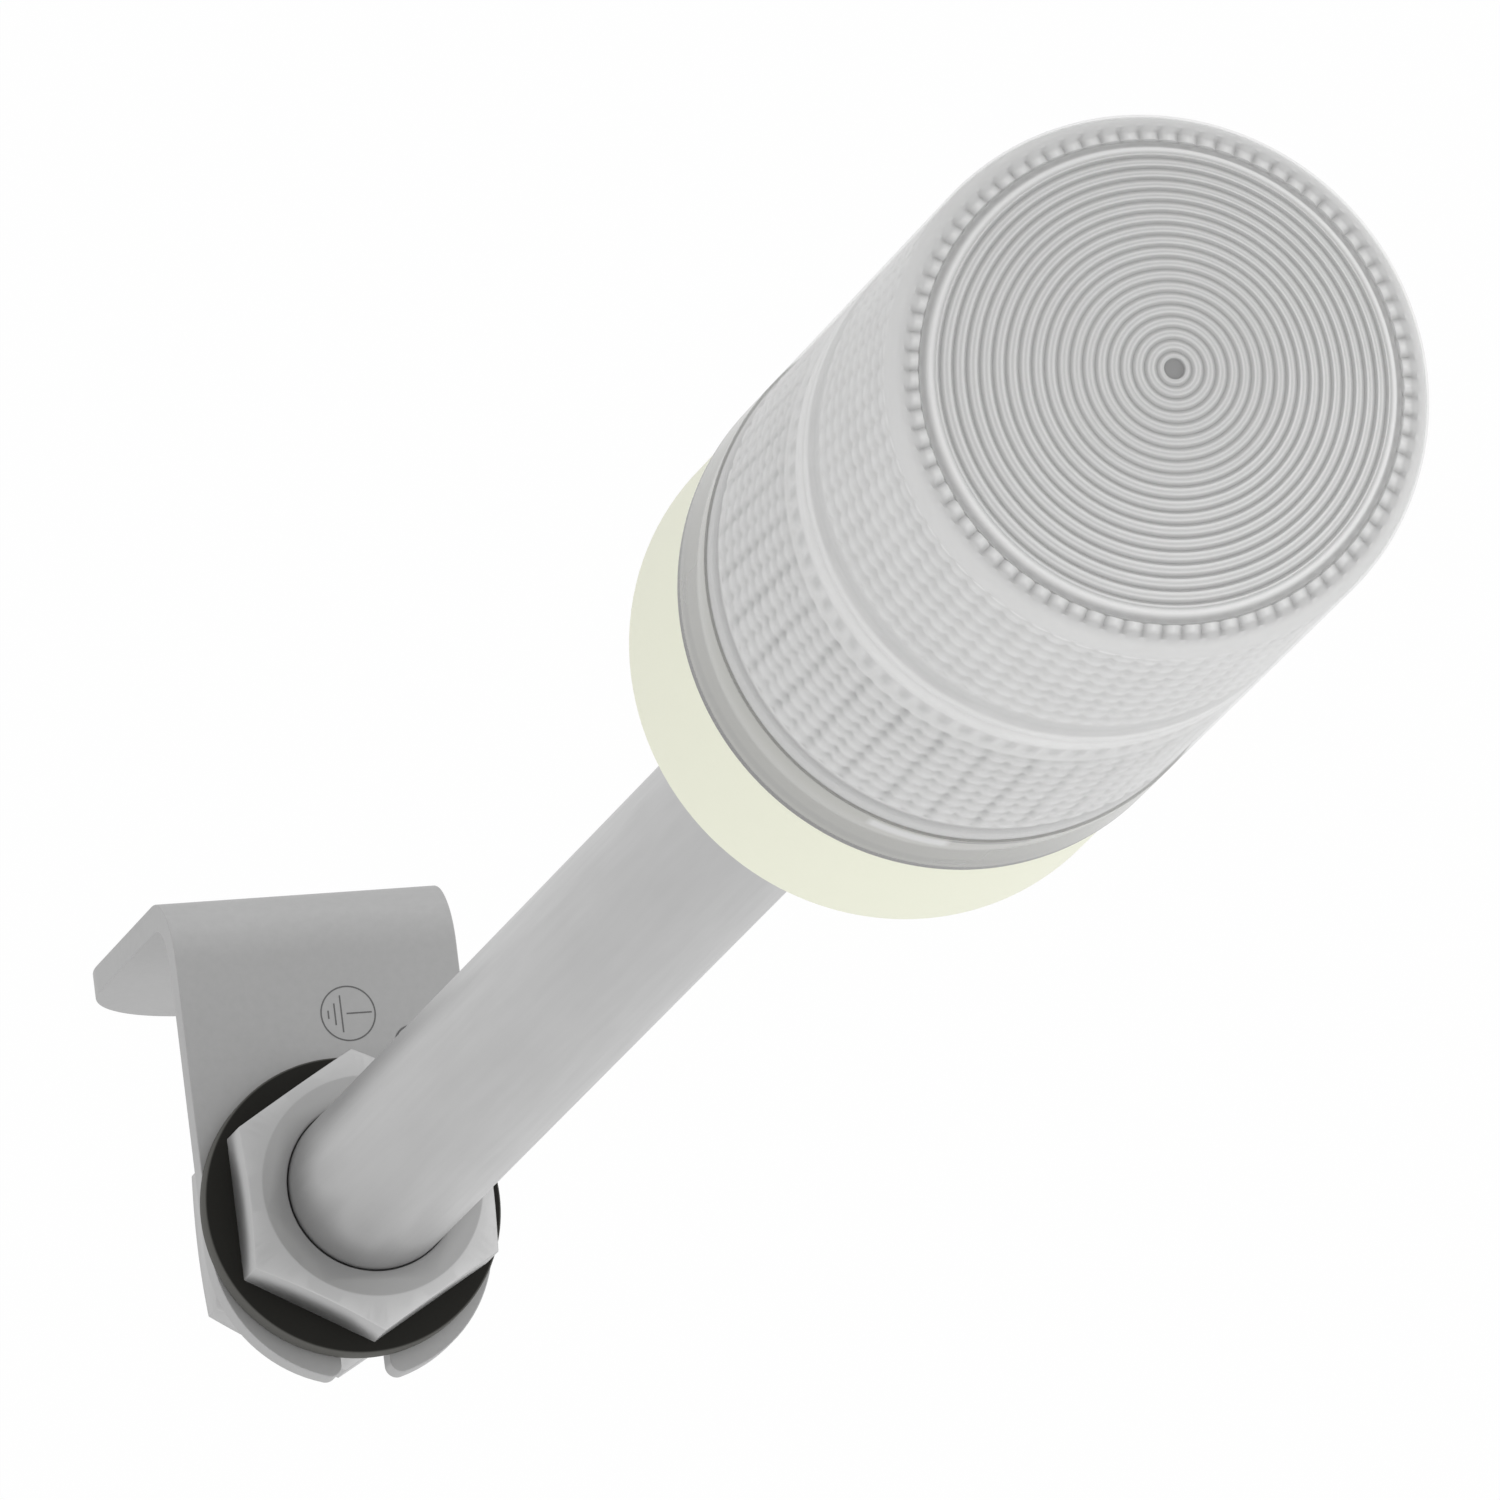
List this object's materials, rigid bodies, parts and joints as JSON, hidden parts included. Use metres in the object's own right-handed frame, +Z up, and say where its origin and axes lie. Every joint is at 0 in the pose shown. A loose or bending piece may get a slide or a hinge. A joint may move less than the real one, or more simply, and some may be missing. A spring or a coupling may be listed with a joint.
{
  "type": "stack light",
  "caption": "Signal stack light: one tall clear ribbed lens on a cream base, a long round metal pole, and a bent wall bracket that clamps the pole's foot between two hexagon nuts.",
  "frame": {"origin": "middle of the two wall holes, in the wall face of the bracket", "axes": "+Z up along the pole towards the lens, +Y into the wall, +X along the bracket's bend, to the right as seen from the front"},
  "size_m": [0.066, 0.0765, 0.5044],
  "materials": {
    "bracket_steel": "satin",
    "nut_steel": "satin",
    "pole_metal": "satin",
    "black_rubber": "matte",
    "cream_plastic": "matte",
    "white_plastic": "matte",
    "grey_plastic": "matte",
    "grey_silicone": "matte",
    "clear_plastic": "gloss",
    "board": "satin",
    "green_plastic": "satin",
    "chip": "satin"
  },
  "bodies": {
    "root": {"mounting_bracket": "bracket_steel", "earth_stud": "nut_steel", "bracket_gasket": "black_rubber", "upper_nut": "nut_steel", "flat_washer": "nut_steel", "lock_washer": "nut_steel", "lower_nut": "nut_steel", "pole": "pole_metal", "cable_bush": "black_rubber", "base_housing": "cream_plastic", "pole_seal": "black_rubber", "pole_top_nut": "nut_steel", "base_chassis": "grey_plastic", "chassis_screws": "nut_steel", "driver_board": "board", "driver_screws": "nut_steel", "driver_components": "black_rubber", "terminal_block": "green_plastic", "lens_seal": "grey_silicone", "light_post": "white_plastic", "post_screws": "nut_steel", "led_board_top": "board", "led_chips_top": "chip", "top_screw": "nut_steel", "outer_lens": "clear_plastic", "led_board_front": "board", "led_chips_front": "chip", "led_board_right": "board", "led_chips_right": "chip", "led_board_back": "board", "led_chips_back": "chip", "led_board_left": "board", "led_chips_left": "chip"}
  },
  "joints": []
}
